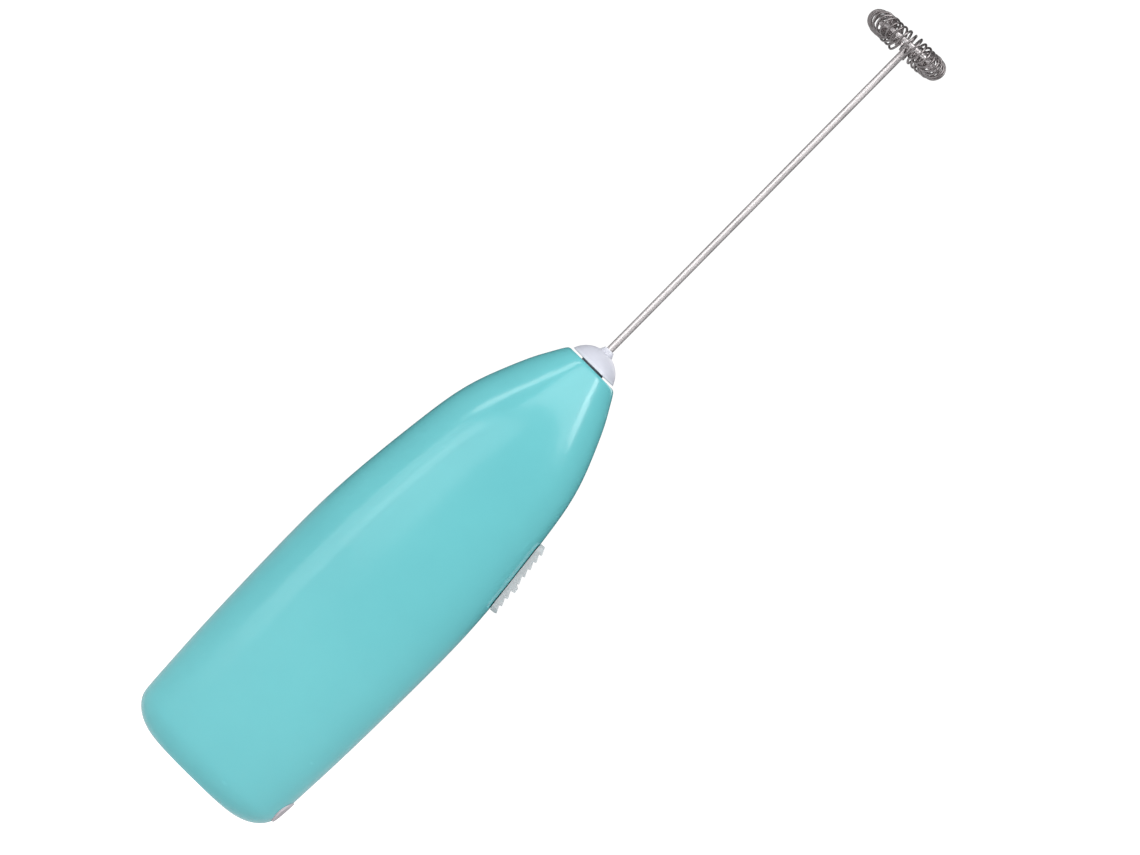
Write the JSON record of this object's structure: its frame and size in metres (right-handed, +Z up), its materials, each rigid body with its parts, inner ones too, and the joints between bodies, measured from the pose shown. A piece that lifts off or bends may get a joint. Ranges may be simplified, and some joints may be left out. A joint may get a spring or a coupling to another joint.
{
  "type": "milk frother",
  "caption": "Battery hand-held milk frother: a wire-coil whisk on a thin shaft spins from a flattened teardrop handle with a side slide switch.",
  "frame": {"origin": "middle of the flat land under the base, on the whisk shaft's axis", "axes": "+Z up along the whisk shaft from base to whisk, +X towards the slide switch across the wide front, -Y out of the plain front face"},
  "size_m": [0.0421, 0.026, 0.2145],
  "materials": {
    "shell": "gloss",
    "cover": "gloss",
    "catch": "satin",
    "nose": "satin",
    "frame": "matte",
    "cell": "gloss",
    "contact": "satin",
    "motor_steel": "satin",
    "end_bell": "matte",
    "brass": "satin",
    "magnet": "matte",
    "bronze": "satin",
    "copper": "satin",
    "shaft_steel": "polished",
    "coupler": "matte",
    "whisk_steel": "polished",
    "coil_wire": "polished",
    "switch": "satin",
    "switch_inner": "matte",
    "red_wire": "satin",
    "black_wire": "satin",
    "screw_steel": "satin"
  },
  "bodies": {
    "housing": {"front_shell": "shell", "back_shell": "shell", "nose_cap": "nose", "inner_frame": "frame", "battery_left": "cell", "battery_right": "cell", "positive_contact": "contact", "negative_contact": "contact", "negative_spring": "contact", "bridge_contact": "contact", "bridge_spring": "contact", "motor_can": "motor_steel", "motor_end_bell": "end_bell", "motor_terminals": "brass", "motor_brushes": "brass", "motor_magnets": "magnet", "front_bearing": "bronze", "rear_bearing": "bronze", "switch_base": "switch_inner", "switch_output": "brass", "positive_wire": "red_wire", "negative_wire": "black_wire", "shell_screws": "screw_steel"},
    "whisk": {"armature_core": "motor_steel", "armature_windings": "copper", "commutator": "copper", "motor_shaft": "shaft_steel", "shaft_coupler": "coupler", "whisk_shaft": "whisk_steel", "whisk_ring": "whisk_steel", "whisk_coil": "coil_wire"},
    "switch": {"switch_knob": "switch", "switch_carrier": "switch_inner", "switch_wiper": "brass"},
    "cover": {"battery_cover": "cover"},
    "catch": {"cover_catch": "catch"}
  },
  "joints": [
    {"name": "whisk_spin", "type": "hinge", "parent": "housing", "child": "whisk", "pos_m": [0, 0, 0.1], "axis": [0, 0, 1], "continuous": true},
    {"name": "switch_slide", "type": "slide", "parent": "housing", "child": "switch", "axis": [-0.1104, 0, 0.9939], "range_m": [0, 0.004]},
    {"name": "cover_slide", "type": "slide", "parent": "housing", "child": "cover", "axis": [0, 0, -1], "range_m": [0, 0.064]},
    {"name": "catch_press", "type": "slide", "parent": "housing", "child": "catch", "axis": [-1, 0, 0], "range_m": [0, 0.0008], "stiffness_N_per_m": 400}
  ]
}
